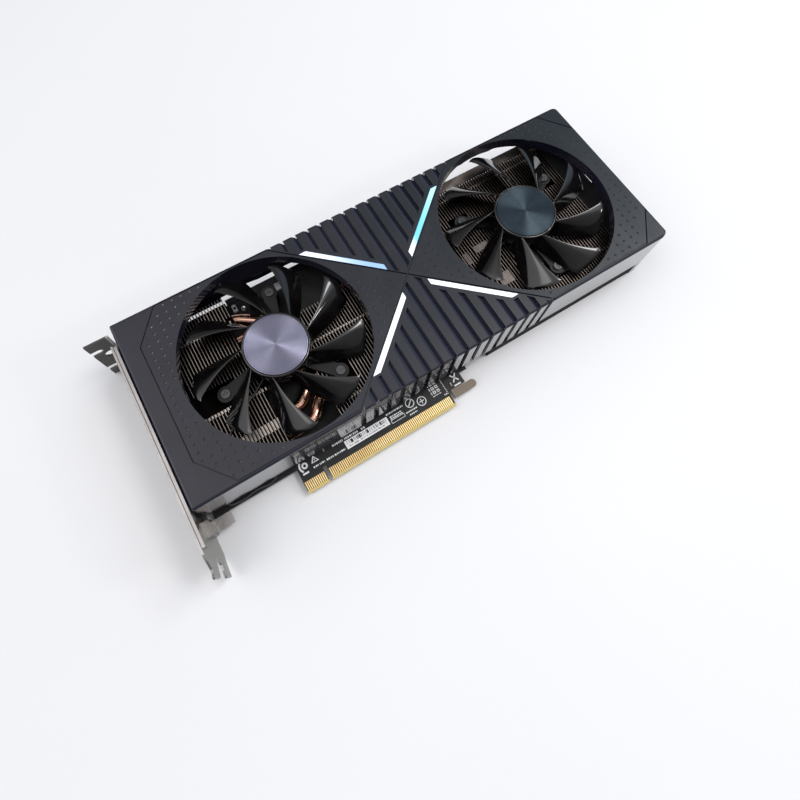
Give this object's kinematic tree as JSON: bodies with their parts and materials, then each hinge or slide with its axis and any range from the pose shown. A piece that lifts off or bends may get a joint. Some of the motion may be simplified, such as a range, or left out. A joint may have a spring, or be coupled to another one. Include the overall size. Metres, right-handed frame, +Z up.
{
  "type": "graphics card",
  "caption": "Two-fan desktop graphics card with a ribbed black shroud, lit cross strips, slotted steel bracket and gold edge connector.",
  "frame": {"origin": "centre of the base of the whole part, on the table it lies on, fans up", "axes": "+X from the bracket to the tail, +Y from the edge connector to the opposite long edge, +Z up out of the fans"},
  "size_m": [0.2816, 0.1254, 0.0387],
  "materials": {
    "shroud_plastic": "fine-grained satin black, smooth gloss on the facets and walls",
    "light_guide": "milky light guide, slightly iridescent",
    "led_board": "coated board",
    "black_screw": "black oxide",
    "smoky_blade": "glossy smoky black",
    "lilac_cap": "radially brushed, anodised",
    "slate_cap": "radially brushed, anodised",
    "shaft_steel": "ground",
    "ferrite": "moulded ferrite",
    "fan_plastic": "satin",
    "winding": "enamelled copper",
    "green_board": "coated board",
    "sleeve_bronze": "sintered bronze",
    "lead_jacket": "satin sleeving",
    "zinc_screw": "zinc plated",
    "fin_aluminium": "thin dark-plated sheet",
    "pipe_copper": "bare copper",
    "plate_copper": "machined copper",
    "black_casting": "black anodised",
    "rail_metal": "dark nickel",
    "pad_silicone": "soft silicone",
    "solder_mask": "black solder mask with white printed marks",
    "contact_gold": "gold plated",
    "label_paper": "printed label",
    "package_substrate": "laminate",
    "silicon": "polished silicon",
    "chip_epoxy": "moulded epoxy",
    "choke_ferrite": "pressed powder",
    "capacitor_can": "drawn can",
    "connector_plastic": "moulded",
    "header_nylon": "nylon",
    "socket_steel": "nickel plated",
    "bracket_steel": "satin nickel",
    "spring_steel": "satin",
    "frame_plastic": "satin"
  },
  "bodies": {
    "card": {"shroud": "shroud_plastic", "light_strips": "light_guide", "led_boards": "led_board", "shroud_screws": "black_screw", "left_fan_frame": "fan_plastic", "left_stator": "winding", "left_motor_board": "green_board", "left_sleeve": "sleeve_bronze", "left_fan_lead": "lead_jacket", "right_fan_frame": "fan_plastic", "right_stator": "winding", "right_motor_board": "green_board", "right_sleeve": "sleeve_bronze", "right_fan_lead": "lead_jacket", "fan_screws": "zinc_screw", "front_fins": "fin_aluminium", "middle_fins": "fin_aluminium", "tail_fins": "fin_aluminium", "heat_pipes": "pipe_copper", "cold_plate": "plate_copper", "base_plate": "black_casting", "side_rail": "rail_metal", "thermal_pads": "pad_silicone", "pcb": "solder_mask", "edge_contacts": "contact_gold", "barcode_label": "label_paper", "gpu_package": "package_substrate", "gpu_die": "silicon", "memory_chips": "chip_epoxy", "chokes": "choke_ferrite", "capacitors": "capacitor_can", "mosfets": "chip_epoxy", "power_connector": "connector_plastic", "fan_headers": "header_nylon", "hdmi_socket": "socket_steel", "display_socket_a": "socket_steel", "display_socket_b": "socket_steel", "display_socket_c": "socket_steel", "bracket": "bracket_steel", "bracket_screws": "black_screw", "retention_bracket": "spring_steel", "spring_screws": "zinc_screw", "tail_frame": "frame_plastic"},
    "left_fan": {"left_rotor": "smoky_blade", "left_cap": "lilac_cap", "left_shaft": "shaft_steel", "left_magnet": "ferrite"},
    "right_fan": {"right_rotor": "smoky_blade", "right_cap": "slate_cap", "right_shaft": "shaft_steel", "right_magnet": "ferrite"}
  },
  "joints": [
    {"name": "left_fan_spin", "type": "hinge", "parent": "card", "child": "left_fan", "pos_m": [-0.0625, 0.01465, 0.03], "axis": [0, 0, 1], "continuous": true},
    {"name": "right_fan_spin", "type": "hinge", "parent": "card", "child": "right_fan", "pos_m": [0.0843, 0.01465, 0.03], "axis": [0, 0, 1], "continuous": true}
  ]
}
